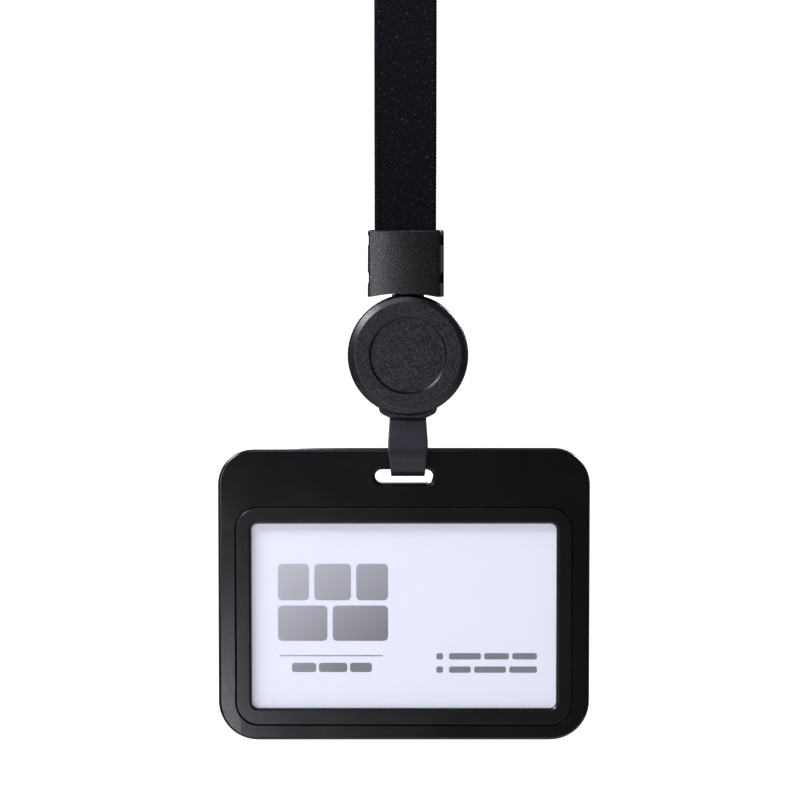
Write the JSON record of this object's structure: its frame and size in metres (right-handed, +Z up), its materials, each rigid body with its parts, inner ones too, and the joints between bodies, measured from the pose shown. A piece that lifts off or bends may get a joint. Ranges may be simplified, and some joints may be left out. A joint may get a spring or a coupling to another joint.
{
  "type": "lanyard badge holder",
  "caption": "Landscape card case on a folded hanger strap, a retractable cord reel and a two-part collar, hung from a woven strap loop.",
  "frame": {"origin": "inside of the strap loop's turn, where the lanyard hangs", "axes": "+Z up along the hanging lanyard, +X along the card case's width, -Y out of the window's face"},
  "size_m": [0.0989, 0.0214, 0.211],
  "materials": {
    "webbing": "fine satin weave",
    "collar_plastic": "fine grain",
    "reel_plastic": "fine grain",
    "spool_plastic": "moulded",
    "steel": "bright",
    "cord": "braided",
    "soft_plastic": "smooth",
    "case_plastic": "satin",
    "clear_plastic": "clear",
    "card": "printed"
  },
  "bodies": {
    "lanyard": {"strap_webbing": "webbing", "collar_front_shell": "collar_plastic", "collar_rear_shell": "collar_plastic"},
    "reel": {"reel_front_shell": "reel_plastic", "reel_rear_shell": "reel_plastic", "swivel_stud": "steel", "cord_eyelet": "steel", "spiral_spring": "steel"},
    "spool": {"spool": "spool_plastic", "cord_wound": "cord"},
    "hanger": {"cord_lead": "cord", "cord_anchor": "steel", "hanger_strap": "soft_plastic", "snap_stud": "steel"},
    "tail": {"strap_tail": "soft_plastic", "snap_socket": "steel", "snap_cap": "steel"},
    "case": {"case_frame": "case_plastic", "front_bezel": "case_plastic", "window": "clear_plastic", "insert_card": "card"},
    "cover": {"back_cover": "case_plastic"}
  },
  "joints": [
    {"name": "reel_swivel", "type": "hinge", "parent": "lanyard", "child": "reel", "pos_m": [0, 0, -0.0911], "axis": [0, 0, 1], "continuous": true},
    {"name": "cord_pull", "type": "slide", "parent": "reel", "child": "hanger", "axis": [0, 0, -1], "range_m": [0, 0.6], "stiffness_N_per_m": 0.5, "springref_m": -1.6, "deforming": ["cord_lead"]},
    {"name": "spool_spin", "type": "hinge", "parent": "reel", "child": "spool", "pos_m": [0, 0, -0.1071], "axis": [0, 1, 0], "range_deg": [0, 3020]},
    {"name": "case_swing", "type": "hinge", "parent": "hanger", "child": "case", "pos_m": [0, 0, -0.13405], "axis": [1, 0, 0], "range_deg": [-85, 85]},
    {"name": "cover_slide", "type": "slide", "parent": "case", "child": "cover", "axis": [1, 0, 0], "range_m": [0, 0.09]},
    {"name": "tail_open", "type": "hinge", "parent": "hanger", "child": "tail", "pos_m": [0, 0.0055, -0.1339], "axis": [-1, 0, 0], "range_deg": [0, 60]}
  ],
  "couplings": [
    {"joint": "spool_spin", "follows": "cord_pull", "rad_per_m": 87.7}
  ]
}
